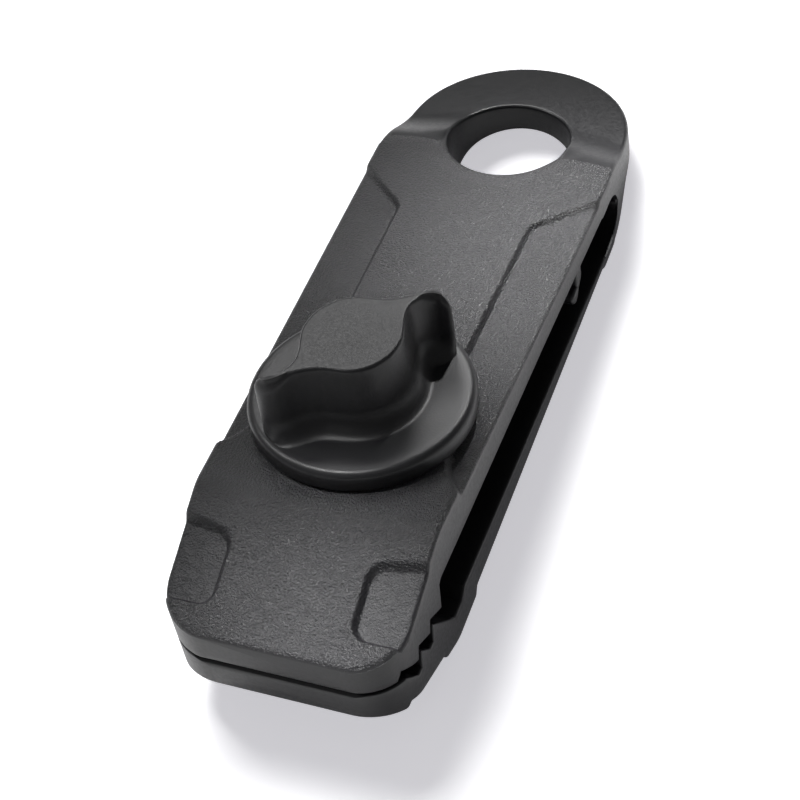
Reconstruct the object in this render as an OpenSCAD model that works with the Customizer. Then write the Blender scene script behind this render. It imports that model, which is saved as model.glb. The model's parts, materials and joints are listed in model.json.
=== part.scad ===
/* [Eye ring] */
// Radius of the round eye
eye_r = 9; // [7:0.5:10]
// Wall between the eye and the slot
eye_wall = 2.3; // [1.6:0.1:3]
// Outer radius of the ring round the eye
ring_r = 16.6; // [15:0.1:17.5]
// How far the ring's own centre lies behind the eye's centre
ring_shift = 2.8; // [1:0.1:4]
// Thickness of the ring at the eye's centre
ring_t = 7.5; // [6:0.1:8.5]
// Slope of each ring face, thinner at the far end, in degrees
ring_slope = 8.5; // [4:0.5:9]

/* [Arms] */
// Width across the two arms at the eye's centre
arm_w = 35.8; // [34.6:0.2:40]
// Narrowing of the arms on each side towards the jaws, in degrees
arm_taper = 1; // [0.4:0.1:1.2]
// Half height of the clip at the eye's centre, to the raised outer panel
panel_h = 6.1; // [5.8:0.05:6.6]
// Slope of the raised outer panel on each arm, in degrees
panel_slope = 4.35; // [4:0.05:5]
// Half height of the clip at the eye's centre, to the sunk side strips
strip_h = 5.5; // [5.2:0.05:5.7]
// Slope of the sunk side strips, in degrees
strip_slope = 3.75; // [3.4:0.05:4]
// Distance from the eye's centre to the shoulders of the arms
shoulder_y = 2.8; // [2:0.1:3.4]
// Plan radius of the shoulders
shoulder_r = 1.8; // [1:0.1:4]
// Length of the ramp from the ring face up to the raised panel
ramp_y = 2.6; // [2:0.2:4]
// Distance from the shoulders to the foot of that ramp
ramp_gap = 0.4; // [0.3:0.1:0.8]

/* [Side strips] */
// Distance from the eye's centre to the strip's start at the side edge
strip_start = 12.4; // [12.2:0.1:14]
// Distance from the eye's centre to the strip's inner corner
strip_corner = 19.6; // [18:0.1:22]
// Distance from the centre line to the strip's inner edge, at the eye's centre
strip_x = 10.2; // [8:0.1:12]
// Distance from the eye's centre to the strip's end at the side edge
strip_end = 69.1; // [66:0.1:72]
// Radius of the rounded end of the strip
strip_end_r = 10; // [8:0.5:11]

/* [Slot] */
// Distance from the eye's centre to the centre of the slot's round end
slot_y = 8.9; // [8.4:0.1:11]
// Height of the slot's upper face over the mid-plane, at its round end
slot_up = 2.7; // [2:0.1:3.2]
// Depth of the slot's lower face under the mid-plane
slot_down = 5; // [4:0.1:5.2]
// Rise of the slot's upper face from its round end to the jaw
slot_rise = 1.5; // [0:0.1:2]

/* [Jaws] */
// Distance from the eye's centre to the bend where the jaw face begins
bend_y = 76; // [74:0.5:78]
// Distance from the eye's centre to the blunt front of the jaws
jaw_y = 94.4; // [93:0.2:98]
// Half height of the jaws at their blunt front
jaw_h = 5.35; // [4.5:0.05:6.5]
// Plan radius of the jaws' front corners
jaw_r = 7; // [3:0.5:9]
// Gap between the closed jaws at the front lips
lip_gap = 0.5; // [0.4:0.1:1]
// Length of the smooth front lips
lip_len = 3.7; // [3:0.1:4.5]

/* [Throat and teeth] */
// Distance from the eye's centre to the throat behind the teeth
throat_y = 72; // [70:0.5:73]
// Depth of the throat under the slot's lower face
throat_drop = 1.5; // [0.5:0.1:1.8]
// Number of teeth on each jaw
tooth_n = 3; // [2:1:3]
// Distance from tooth to tooth
tooth_pitch = 4.05; // [3.8:0.05:4.3]
// Height of a tooth of the upper jaw
tooth_h = 2.1; // [1:0.1:2.3]
// Run of a tooth's steep side
tooth_run = 0.6; // [0.3:0.1:0.8]
// Clearance between meshing teeth along the clip
tooth_gap = 0.45; // [0.35:0.05:0.6]
// Depth of a valley of the lower jaw under the mid-plane
valley_z = 2.5; // [1.8:0.1:3]
// Length of the flat floor in a valley of the lower jaw
valley_len = 1.2; // [0.6:0.1:1.4]

/* [Finger pads] */
// Distance from the eye's centre to the pad's rear edge
pad_y = 79.9; // [79:0.1:81]
// Length of the pad along the jaw
pad_len = 11; // [9:0.5:11.5]
// Distance from the centre line to the pad's inner edge
pad_x = 9; // [8:0.1:12]
// Depth of the sunk pad
pad_depth = 1; // [0.5:0.1:1.2]
// Plan radius of the pad's inner corners
pad_r = 2.5; // [1:0.5:4]

/* [Spring tongue] */
// Distance from the eye's centre to the tongue's front face
tongue_y = 20.2; // [18:0.1:26]
// Thickness of the tongue
tongue_t = 2.2; // [1.4:0.1:2.4]
// Straight drop of the tongue under the slot's upper face
tongue_drop = 2; // [1.5:0.1:2.4]
// Inner radius of the tongue's curl
tongue_r = 1; // [0.6:0.1:1.4]
// How far the tongue stops short of the arm's sides
tongue_inset = 0.6; // [0.2:0.1:4]

/* [Clamp knob] */
// Distance from the eye's centre to the knob, along the raised panel
knob_y = 58.7; // [55:0.1:60]
// Radius of the knob's round flange
flange_r = 15; // [14:0.1:16]
// Height of the flange over the panel
flange_h = 3.4; // [2.8:0.1:4.5]
// Rounding of the flange's edges
flange_round = 0.6; // [0.4:0.1:1.2]
// Clearance between the flange and the panel
flange_gap = 0.3; // [0.2:0.05:0.5]
// Height of the hub over the panel
hub_h = 13.5; // [12:0.1:15]
// Radius of the hub at its top
hub_r = 6.75; // [6:0.05:7]
// Draft of the hub's and wings' sides, in degrees
grip_draft = 6; // [3:1:9]
// Radius of the cove at the foot of the hub and wings
cove_r = 2.4; // [1:0.1:3]
// Radius out to the wing's ends
wing_r = 13.6; // [12:0.1:14]
// Thickness of a wing at its top
wing_t = 2.2; // [1.4:0.1:3]
// Turn of the wings from square to the clip, in degrees
wing_turn = 56; // [0:1:90]
// Radius of the webs where the wings leave the hub
web_r = 4.5; // [3:0.1:5]

/* [Clamp screw] */
// Radius of the screw
screw_r = 3; // [2.5:0.5:3]
// Depth of the screw's hold in the knob
screw_hold = 9; // [6:0.5:11]
// Length of the screw under the panel
screw_len = 20.5; // [19.5:0.1:20.8]
// Radial running clearance of the screw in its nut
screw_fit = 0.1; // [0.05:0.01:0.1]
// Radial clearance of the screw in the upper arm's hole
hole_gap = 0.7; // [0.5:0.1:1]
// Extra length of that hole each way along the arm
hole_slot = 1.1; // [0.9:0.1:1.5]
// Width across the flats of the hexagon nut
nut_af = 10; // [10:0.5:11]
// Height of the hexagon nut
nut_h = 5; // [4:0.5:5]
// Depth of the nut's top under the panel
nut_depth = 13.5; // [13:0.1:14]
// Height of the nut's boss over the nut
boss_cap = 1; // [0.8:0.1:1.5]
// Radius of the nut's boss
boss_r = 8; // [7.5:0.1:9]

/* [Washer] */
// Outer radius of the washer
washer_r = 7; // [6:0.1:8]
// Thickness of the washer
washer_t = 1; // [0.8:0.1:1.5]
// Clearance of the washer above, below and round it
washer_gap = 0.1; // [0.05:0.01:0.15]

/* [Hidden] */
// Centre of the strip's round end, outwards from the side and back from the end, as shares of its radius
strip_end_share = [0.64, 0.77];
// Steps of each round corner in the arms' plan
corner_n = 9;
// Facets of a full circle
$fn = 96;
// Overrun of every cut
over = 1;
// Gap between the two arms' solids at the flexure
flexure_gap = 0.3;
// Height that clears every outer face
tall = 2 * (panel_h + jaw_y * tan(panel_slope));
half_w = arm_w / 2;
// Height of the slot's centre line and the radius of its round end
slot_z = (slot_up - slot_down) / 2;
slot_r = (slot_up + slot_down) / 2;
// Distance from the eye's centre to the flexure, just past the wall round the eye
flex_y = eye_r + eye_wall + flexure_gap;
// Place of the first upper tooth, counted back from the lips
first_tooth = jaw_y - lip_len + tooth_run - tooth_n * tooth_pitch;
// Start of the first slope of the lower jaw
ramp_start = first_tooth - throat_drop;
// Height of the raised panel at the knob
knob_z = outer(knob_y);
// Fall of the outer jaw face for its length
jaw_fall = (outer(bend_y) - jaw_h) / (jaw_y - bend_y);

// Half height of the raised panel at a distance y from the eye's centre
function outer(y) = panel_h + y * tan(panel_slope);
// Half width of the arms at a distance y from the eye's centre
function side_x(y) = half_w - y * tan(arm_taper);
// Half height of the ring face at a distance y in front of the eye's centre
function ring_z(y) = ring_t / 2 + y * tan(ring_slope);
// Half height of the jaw's outer face at a distance y
function jaw_z(y) = jaw_h + (jaw_y - y) * jaw_fall;
// Place of upper tooth i
function tooth_at(i) = first_tooth + i * tooth_pitch;
// Height of the slot's upper face at the jaw
function slot_top() = slot_up + slot_rise;

// Extrudes a side outline, drawn as [distance in front of the eye, height], across the clip
module across(width) {
    rotate([90, 0, -90]) linear_extrude(height = width, center = true) children();
}

// Puts its children on the knob's axis, with the panel at height zero
module at_knob() {
    translate([0, -knob_y, knob_z]) rotate([-panel_slope, 0, 0]) children();
}

// Points of an arc of radius r round a centre at [x, y], from one angle to another
function arc(x, y, r, from, to) = [
    for (i = [0 : corner_n]) let (a = from + (to - from) * i / corner_n) [x + r * cos(a), y + r * sin(a)]];

// Plan outline of the arms, with round shoulders and round front corners
module arm_plan() {
    rear_y = shoulder_y + shoulder_r;
    front_y = jaw_y - jaw_r;
    rear_x = side_x(rear_y) - shoulder_r / cos(arm_taper);
    front_x = side_x(front_y) - jaw_r / cos(arm_taper);
    quarter = 90;
    right = concat(
        arc(rear_x, -rear_y, shoulder_r, quarter, -arm_taper),
        arc(front_x, -front_y, jaw_r, -arm_taper, -quarter));
    last = len(right) - 1;
    polygon(concat(right, [for (i = [last : -1 : 0]) [-right[i][0], right[i][1]]]));
}

// Plan outline of one sunk side strip, on the right
module strip_plan() {
    reach = half_w + over;
    inner = function(y) strip_x - y * tan(arm_taper);
    round_y = strip_end - strip_end_share[1] * strip_end_r;
    intersection() {
        polygon([[reach, -strip_start + over], [side_x(strip_start), -strip_start],
                 [inner(strip_corner), -strip_corner], [inner(strip_end), -strip_end], [reach, -strip_end]]);
        union() {
            translate([0, -round_y]) square([reach + over, round_y]);
            translate([side_x(strip_end) + strip_end_share[0] * strip_end_r, -round_y]) circle(strip_end_r);
        }
    }
}

// Both sunk strips above the strip level, for one face
module strips() {
    intersection() {
        linear_extrude(height = tall) for (side = [0, 1]) mirror([side, 0]) strip_plan();
        across(arm_w + 2 * over) polygon([
            [0, strip_h], [jaw_y, strip_h + jaw_y * tan(strip_slope)], [jaw_y, tall], [0, tall]]);
    }
}

// Both sunk finger pads of one jaw face, open to the sides
module pads() {
    run = half_w - pad_x + over;
    back = pad_y - over;
    floor_z = -pad_depth * norm([1, jaw_fall]);
    intersection() {
        linear_extrude(height = tall) for (side = [0, 1]) mirror([side, 0]) {
            translate([pad_x + pad_r, -pad_y - pad_len]) square([run - pad_r, pad_len]);
            translate([pad_x, -pad_y - pad_len + pad_r]) square([run, pad_len - 2 * pad_r]);
            for (end = [pad_y + pad_r, pad_y + pad_len - pad_r])
                translate([pad_x + pad_r, -end]) circle(pad_r);
        }
        across(arm_w + 2 * over) polygon([
            [back, jaw_z(back) + floor_z], [jaw_y, jaw_z(jaw_y) + floor_z], [jaw_y, tall], [back, tall]]);
    }
}

// An arm from its side outline, with the sunk strips and pads of its outer face
module arm(face) {
    difference() {
        intersection() {
            linear_extrude(height = 2 * tall, center = true) children(0);
            across(2 * tall) children(1);
        }
        mirror([0, 0, face]) {
            strips();
            pads();
        }
    }
}

// Side outline of the upper arm and the upper jaw's teeth
module upper_side() {
    start = flex_y + flexure_gap;
    front = jaw_y + over;
    lip = lip_gap / 2;
    last = tooth_at(tooth_n) - tooth_run;
    polygon(concat(
        [[bend_y, outer(bend_y)], [start, outer(start)], [start, slot_up],
         [first_tooth - tooth_run - slot_rise / 2, slot_top()]],
        [for (i = [0 : tooth_n - 1]) each [
            [tooth_at(i) - tooth_run, i == 0 ? slot_top() - tooth_run : lip + tooth_h - tooth_run],
            [tooth_at(i), lip - tooth_run]]],
        [[last, lip + tooth_h - tooth_run], [last + tooth_run, lip], [front, lip], [front, jaw_z(front)]]));
}

// Side outline of the ring, the root of both arms, the lower arm and the lower jaw's teeth
module lower_side() {
    rear = -ring_shift - ring_r - over;
    foot_y = shoulder_y + ramp_gap;
    head_y = foot_y + ramp_y;
    front = jaw_y + over;
    lip = lip_gap / 2;
    low = slot_down + throat_drop;
    polygon(concat(
        [[rear, ring_z(rear)], [foot_y, ring_z(foot_y)], [head_y, outer(head_y)], [flex_y, outer(flex_y)],
         [flex_y, -slot_down], [throat_y, -slot_down], [throat_y + throat_drop, -low],
         [ramp_start - throat_drop, -low], [ramp_start, -slot_down]],
        [for (i = [1 : tooth_n - 1]) let (tip = tooth_at(i) - tooth_run - tooth_gap) each [
            [tip, lip], [tip + tooth_run, -valley_z], [tip + tooth_run + valley_len, -valley_z]]],
        [[tooth_at(tooth_n) - tooth_run - tooth_gap, -lip], [front, -lip], [front, -jaw_z(front)],
         [bend_y, -outer(bend_y)], [head_y, -outer(head_y)], [foot_y, -ring_z(foot_y)], [rear, -ring_z(rear)]]));
}

// The curled spring tongue on the upper arm's inner face
module tongue() {
    mid = tongue_r + tongue_t / 2;
    root = tongue_y + tongue_t / 2;
    low = slot_up - tongue_drop;
    across(arm_w - 2 * tongue_inset) {
        translate([tongue_y, low]) square([tongue_t, tongue_drop + slot_rise]);
        translate([root + mid, low]) difference() {
            circle(mid + tongue_t / 2);
            circle(tongue_r);
            translate([-tall, 0]) square([2 * tall, tall]);
            translate([0, -tall]) square([tall, 2 * tall]);
        }
        translate([root + mid, low - mid]) circle(tongue_t / 2);
    }
}

// Round end of the slot, which leaves the wall round the eye whole
module slot_end() {
    difference() {
        across(arm_w + 2 * over) {
            translate([slot_y, slot_z]) circle(slot_r);
            translate([slot_y, -slot_down]) square([flex_y + over - slot_y, 2 * slot_r]);
        }
        cylinder(r = eye_r + eye_wall, h = 2 * tall, center = true);
    }
}

// Ring, eye, lower arm and lower jaw, with the nut's boss and pocket
module eye_and_lower_arm() {
    pocket_r = nut_af / 2 / cos(30);
    color([0.06, 0.06, 0.065]) difference() {
        union() {
            arm(1) {
                union() {
                    translate([0, ring_shift]) circle(ring_r);
                    arm_plan();
                }
                lower_side();
            }
            // Boss round the nut
            intersection() {
                at_knob() translate([0, 0, -tall]) cylinder(r = boss_r, h = tall - nut_depth + boss_cap);
                across(2 * tall) translate([slot_y, -slot_down - over]) square([jaw_y, tall]);
            }
        }
        cylinder(r = eye_r, h = 2 * tall, center = true);
        slot_end();
        // Nut pocket and the screw's way through
        at_knob() {
            translate([0, 0, -tall]) cylinder(r = pocket_r, h = tall - nut_depth, $fn = 6);
            translate([0, 0, -tall]) cylinder(r = screw_r + screw_fit, h = tall);
        }
    }
}

// Upper arm and upper jaw, with the spring tongue and the screw's slotted hole
module upper_arm() {
    hole_r = screw_r + hole_gap;
    color([0.06, 0.06, 0.065]) difference() {
        union() {
            arm(0) {
                arm_plan();
                upper_side();
            }
            tongue();
        }
        at_knob() {
            for (end = [-1, 1]) translate([0, end * hole_slot, -tall / 2]) cylinder(r = hole_r, h = tall);
            translate([-hole_r, -hole_slot, -tall / 2]) cube([2 * hole_r, 2 * hole_slot, tall]);
        }
    }
}

// Hexagon nut, held in the lower arm
module captive_nut() {
    nut_r = nut_af / 2 / cos(30);
    color([0.7, 0.71, 0.72]) at_knob() translate([0, 0, -nut_depth - nut_h]) difference() {
        cylinder(r = nut_r, h = nut_h, $fn = 6);
        translate([0, 0, -over]) cylinder(r = screw_r + screw_fit, h = nut_h + 2 * over);
    }
}

// Washer in the flange's underside
module thrust_washer() {
    color([0.7, 0.71, 0.72]) at_knob() translate([0, 0, washer_gap]) difference() {
        cylinder(r = washer_r, h = washer_t);
        translate([0, 0, -over]) cylinder(r = screw_r + washer_gap, h = washer_t + 2 * over);
    }
}

// Round flange with rounded edges
module flange() {
    inner_r = flange_r - flange_round;
    translate([0, 0, flange_gap]) cylinder(r = inner_r, h = flange_h - flange_gap);
    translate([0, 0, flange_gap + flange_round])
        cylinder(r = flange_r, h = flange_h - flange_gap - 2 * flange_round);
    for (z = [flange_gap + flange_round, flange_h - flange_round])
        translate([0, 0, z]) rotate_extrude() translate([inner_r, 0]) circle(flange_round);
}

// Drafted hub with a cove at its foot
module hub() {
    foot_r = hub_r + (hub_h - flange_h) * tan(grip_draft);
    cylinder(r1 = foot_r, r2 = hub_r, h = hub_h);
    difference() {
        translate([0, 0, flange_h - over]) cylinder(r = foot_r + cove_r, h = cove_r + over);
        translate([0, 0, flange_h + cove_r]) rotate_extrude() translate([foot_r + cove_r, 0]) circle(cove_r);
    }
}

// Both finger wings as one bar along X, with drafted sides and coves at its foot
module wings() {
    foot = wing_t / 2 + (hub_h - flange_h) * tan(grip_draft);
    bend = flange_h + cove_r;
    intersection() {
        rotate([90, 0, 90]) linear_extrude(height = 2 * flange_r, center = true) difference() {
            polygon([[-foot - cove_r, flange_h - flange_round], [foot + cove_r, flange_h - flange_round],
                [foot + cove_r, flange_h], [foot, bend], [wing_t / 2, hub_h], [-wing_t / 2, hub_h],
                [-foot, bend], [-foot - cove_r, flange_h]]);
            for (side = [-1, 1]) translate([side * (foot + cove_r), bend]) circle(cove_r);
        }
        cylinder(r = wing_r, h = hub_h);
    }
}

// Webs that fair the wings into the hub
module webs() {
    across_wing = wing_t / 2 + web_r;
    along = sqrt(pow(hub_r + web_r, 2) - pow(across_wing, 2));
    linear_extrude(height = hub_h) difference() {
        for (end = [-1, 1])
            polygon([[-end * wing_t, 0], [end * along, across_wing], [end * along, -across_wing]]);
        for (x = [-along, along], y = [-across_wing, across_wing]) translate([x, y]) circle(web_r);
    }
}

// Knob with its flange, hub and two wings
module clamp_knob() {
    recess = washer_t + 2 * washer_gap;
    color([0.05, 0.05, 0.055]) at_knob() rotate([0, 0, wing_turn]) difference() {
        union() {
            flange();
            hub();
            wings();
            webs();
        }
        translate([0, 0, flange_gap - over]) cylinder(r = washer_r + washer_gap, h = recess - flange_gap + over);
        cylinder(r = screw_r, h = screw_hold);
    }
}

// Screw moulded into the knob
module clamp_screw() {
    color([0.7, 0.71, 0.72]) at_knob() translate([0, 0, -screw_len])
        cylinder(r = screw_r, h = screw_len + screw_hold);
}

eye_and_lower_arm();
upper_arm();
captive_nut();
thrust_washer();
clamp_knob();
clamp_screw();
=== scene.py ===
"""Looks of a screw-tightened tarp clip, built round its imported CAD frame.

Lengths in the classes are millimetres, and become metres where a mesh is made. A distance s is
measured from the eye's centre towards the jaws, so y = -s. Heights are above the mid-plane between
the two arms.
"""

import json
import logging
import math
from dataclasses import dataclass
from enum import Enum
from typing import Sequence, Union

import bmesh
import bpy
from mathutils import Matrix, Vector

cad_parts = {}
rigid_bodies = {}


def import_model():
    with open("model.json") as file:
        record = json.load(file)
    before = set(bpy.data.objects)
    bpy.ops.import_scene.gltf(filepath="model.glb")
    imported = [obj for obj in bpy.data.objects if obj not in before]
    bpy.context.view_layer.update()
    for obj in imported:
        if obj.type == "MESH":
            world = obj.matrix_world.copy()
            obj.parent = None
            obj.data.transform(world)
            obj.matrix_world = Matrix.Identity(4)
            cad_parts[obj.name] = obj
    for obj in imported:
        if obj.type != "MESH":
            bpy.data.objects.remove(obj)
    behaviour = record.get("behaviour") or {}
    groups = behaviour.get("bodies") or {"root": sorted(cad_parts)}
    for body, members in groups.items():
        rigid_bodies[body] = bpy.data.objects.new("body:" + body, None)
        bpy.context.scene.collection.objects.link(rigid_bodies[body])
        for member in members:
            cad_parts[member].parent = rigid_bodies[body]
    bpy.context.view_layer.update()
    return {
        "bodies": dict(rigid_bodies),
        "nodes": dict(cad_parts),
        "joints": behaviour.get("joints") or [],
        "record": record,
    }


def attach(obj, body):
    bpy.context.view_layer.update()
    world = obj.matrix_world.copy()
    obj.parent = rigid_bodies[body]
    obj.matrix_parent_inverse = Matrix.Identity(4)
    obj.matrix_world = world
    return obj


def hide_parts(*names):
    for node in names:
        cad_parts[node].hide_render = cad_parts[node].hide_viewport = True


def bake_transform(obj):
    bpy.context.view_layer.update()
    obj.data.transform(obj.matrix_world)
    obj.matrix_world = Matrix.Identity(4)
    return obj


MM = 0.001
MERGE = 2e-6
SMOOTH_ANGLE = math.radians(38)
FACING = 0.35
"""Share of a normal along Z from which a face counts as an outer or an inner one."""

NOISE_SPAN = (0.3, 0.7)
"""Range in which most values of a noise texture lie."""

log = logging.getLogger("tarp_clip")

Point = tuple[float, float, float]
Ring = list[Point]
Input = Union[bpy.types.NodeSocket, float, tuple]


class Face(Enum):
    """The two mirrored outer faces of the clip."""

    UPPER = 1
    LOWER = -1


class Lights(Enum):
    """What a lamp lights, with the floor's state in its light linking."""

    ALL = None
    CLIP = "EXCLUDE"
    FLOOR = "INCLUDE"


class Region(Enum):
    """Surface regions of a moulded arm, in the order of its material slots."""

    GRAIN = 0
    SATIN = 1
    PAD = 2
    INSIDE = 3


# ---------------------------------------------------------------- numbers


def smoothstep(low: float, high: float, value: float) -> float:
    """Smooth step from 0 at low to 1 at high.

    Args:
        low: Value where the step starts.
        high: Value where the step ends.
        value: Where to read it.

    Returns:
        A share from 0 to 1.
    """
    t = min(max((value - low) / (high - low), 0.0), 1.0)
    return t * t * (3 - 2 * t)


def smooth_min(a: float, b: float, width: float) -> float:
    """Smaller of two values, with a rounded meeting of the given width."""
    h = max(width - abs(a - b), 0.0) / width
    return min(a, b) - h * h * width / 4


def smooth_max(a: float, b: float, width: float) -> float:
    """Larger of two values, with a rounded meeting of the given width."""
    return -smooth_min(-a, -b, width)


def corner_depth(a: float, b: float, radius: float) -> float:
    """Depth inside a corner whose two sides are rounded together.

    Args:
        a: Depth from the first side.
        b: Depth from the second side.
        radius: Radius of the rounded corner.

    Returns:
        Depth from the rounded outline, negative outside it.
    """
    if a < radius and b < radius:
        return radius - math.hypot(radius - a, radius - b)
    return min(a, b)


def edge_drop(depth: float, radius: float) -> float:
    """How far a rounded edge has dropped at a depth inside the outline.

    Args:
        depth: Depth inside the outline.
        radius: Radius of the rounded edge.

    Returns:
        The drop below the flat face.
    """
    if depth >= radius:
        return 0.0
    out = radius - max(depth, 0.0)
    return radius - math.sqrt(max(radius * radius - out * out, 0.0))


def steps(start: float, end: float, size: float) -> list[float]:
    """Evenly spaced values from start up to, and without, end."""
    count = max(1, round((end - start) / size))
    return [start + (end - start) * i / count for i in range(count)]


def quarter(count: int) -> list[float]:
    """Angles of a quarter turn, from 0 to 90 degrees, in equal steps."""
    return [math.pi / 2 * i / count for i in range(count + 1)]


def circle(radius: float, count: int, height: float) -> Ring:
    """Points of a level circle round the origin."""
    turns = [2 * math.pi * i / count for i in range(count)]
    return [(radius * math.cos(a), radius * math.sin(a), height) for a in turns]


def along(table: Sequence[tuple[float, float]], s: float) -> float:
    """Height of a side outline at distance s, by straight lines between its points.

    Args:
        table: Points of the outline, as (s, height), in order.
        s: Where to read it.

    Returns:
        The height at s.
    """
    if s <= table[0][0]:
        return table[0][1]
    for (s0, z0), (s1, z1) in zip(table, table[1:]):
        if s <= s1:
            return z0 + (z1 - z0) * (s - s0) / (s1 - s0)
    return table[-1][1]


# ---------------------------------------------------------------- meshes


def loft(rings: Sequence[Ring], closed: bool = True, capped: bool = True) -> bmesh.types.BMesh:
    """Wraps a grid round a row of sections.

    Args:
        rings: Sections of equal length, in millimetres.
        closed: Whether each section is a closed loop.
        capped: Whether the open ends are filled.

    Returns:
        The new mesh, in metres.
    """
    columns = len(rings[0]) if closed else len(rings[0]) - 1
    bm = bmesh.new()
    bmesh.ops.create_grid(bm, x_segments=columns, y_segments=len(rings) - 1, size=1)
    order = sorted(bm.verts, key=lambda v: (round(v.co.y, 5), round(v.co.x, 5)))
    for i, vert in enumerate(order):
        row, column = divmod(i, columns + 1)
        vert.co = Vector(rings[row][column % len(rings[row])]) * MM
    bmesh.ops.remove_doubles(bm, verts=bm.verts, dist=MERGE)
    if capped:
        bmesh.ops.holes_fill(bm, edges=[e for e in bm.edges if e.is_boundary], sides=0)
    bmesh.ops.recalc_face_normals(bm, faces=bm.faces)
    return bm


def free_mesh(name: str, bm: bmesh.types.BMesh) -> bpy.types.Mesh:
    """Turns a bmesh into a named mesh and frees it.

    Args:
        name: Name of the mesh.
        bm: The bmesh, in metres.

    Returns:
        The mesh.
    """
    mesh = bpy.data.meshes.new(name)
    bm.to_mesh(mesh)
    bm.free()
    return mesh


def linked(name: str, data: bpy.types.ID) -> bpy.types.Object:
    """Makes an object of a mesh, a lamp or a camera and links it to the scene.

    Args:
        name: Name of the object.
        data: Its mesh, lamp or camera.

    Returns:
        The object.
    """
    obj = bpy.data.objects.new(name, data)
    bpy.context.scene.collection.objects.link(obj)
    return obj


def merge(target: bmesh.types.BMesh, extra: bmesh.types.BMesh) -> None:
    """Adds a second mesh to the first and frees the second.

    Args:
        target: The mesh that grows.
        extra: The mesh that is added.
    """
    carrier = free_mesh("carrier", extra)
    target.from_mesh(carrier)
    bpy.data.meshes.remove(carrier)


def mirrored(bm: bmesh.types.BMesh) -> bmesh.types.BMesh:
    """Turns a mesh over, from the upper face of the clip to the lower.

    Args:
        bm: The mesh.

    Returns:
        The same mesh.
    """
    bmesh.ops.scale(bm, vec=(1, 1, -1), verts=bm.verts)
    bmesh.ops.reverse_faces(bm, faces=bm.faces)
    return bm


def piece(
    name: str, bm: bmesh.types.BMesh, finishes: Sequence[bpy.types.Material]
) -> bpy.types.Object:
    """Makes an object of a finished mesh, shaded smooth but for its sharp edges.

    Args:
        name: Name of the piece.
        bm: Its mesh, in metres, which is freed.
        finishes: Materials of its slots.

    Returns:
        The object, linked to the scene.
    """
    mesh = free_mesh(name, bm)
    for finish in finishes:
        mesh.materials.append(finish)
    mesh.shade_smooth()
    mesh.set_sharp_from_angle(angle=SMOOTH_ANGLE)
    return linked(name, mesh)


def carve(obj: bpy.types.Object, cutter: bmesh.types.BMesh) -> None:
    """Cuts one closed shape out of a piece.

    Args:
        obj: The piece.
        cutter: The shape, in metres, which is freed.
    """
    tool = linked("cutter", free_mesh("cutter", cutter))
    cut = obj.modifiers.new("cut", "BOOLEAN")
    cut.operation = "DIFFERENCE"
    cut.solver = "EXACT"
    cut.object = tool
    bpy.context.view_layer.update()
    carved = obj.evaluated_get(bpy.context.evaluated_depsgraph_get())
    result = bpy.data.meshes.new_from_object(carved)
    obj.modifiers.clear()
    old, obj.data = obj.data, result
    result.name = obj.name
    result.set_sharp_from_angle(angle=SMOOTH_ANGLE)
    bpy.data.meshes.remove(old)
    bpy.data.meshes.remove(tool.data)


# ---------------------------------------------------------------- shader nodes


def fill(tree: bpy.types.NodeTree, socket: bpy.types.NodeSocket, value: Input) -> None:
    """Links an output to an input socket, or sets the socket's own value.

    Args:
        tree: The tree of both sockets.
        socket: The input to fill.
        value: An output socket or a plain value.
    """
    if isinstance(value, bpy.types.NodeSocket):
        tree.links.new(value, socket)
    else:
        socket.default_value = value


def wire(tree: bpy.types.NodeTree, node: bpy.types.Node, **inputs: Input) -> bpy.types.Node:
    """Sets or links the inputs of a node.

    Args:
        tree: The node's tree.
        node: The node.
        inputs: Values or output sockets by the input's name, with _ for a blank.

    Returns:
        The node.
    """
    for name, value in inputs.items():
        fill(tree, node.inputs[name.replace("_", " ")], value)
    return node


def add_node(tree: bpy.types.NodeTree, kind: str, **inputs: Input) -> bpy.types.Node:
    """Adds a shader node of the given kind, with its inputs set or linked."""
    return wire(tree, tree.nodes.new(f"ShaderNode{kind}"), **inputs)


def combine(tree: bpy.types.NodeTree, operation: str, *values: Input) -> bpy.types.NodeSocket:
    """Works out one sum on values or sockets.

    Args:
        tree: The tree to add the Math node to.
        operation: The node's operation.
        values: Its inputs, in order.

    Returns:
        The result's socket.
    """
    node = add_node(tree, "Math")
    node.operation = operation
    for socket, value in zip(node.inputs, values):
        fill(tree, socket, value)
    return node.outputs["Value"]


def backdrop_strength(
    tree: bpy.types.NodeTree, light: float, mirror: float, camera: float
) -> bpy.types.NodeSocket:
    """Strength of the floor or the room by the kind of ray that meets it.

    Args:
        tree: The material's or world's tree.
        light: Strength for every ray.
        mirror: Added for glossy and transmission rays.
        camera: Added for camera rays.

    Returns:
        The strength's socket.
    """
    path = add_node(tree, "LightPath").outputs
    seen = combine(tree, "MAXIMUM", path["Is Glossy Ray"], path["Is Transmission Ray"])
    base = combine(tree, "MULTIPLY_ADD", seen, mirror, light)
    return combine(tree, "MULTIPLY_ADD", path["Is Camera Ray"], camera, base)


# ---------------------------------------------------------------- finishes


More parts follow.
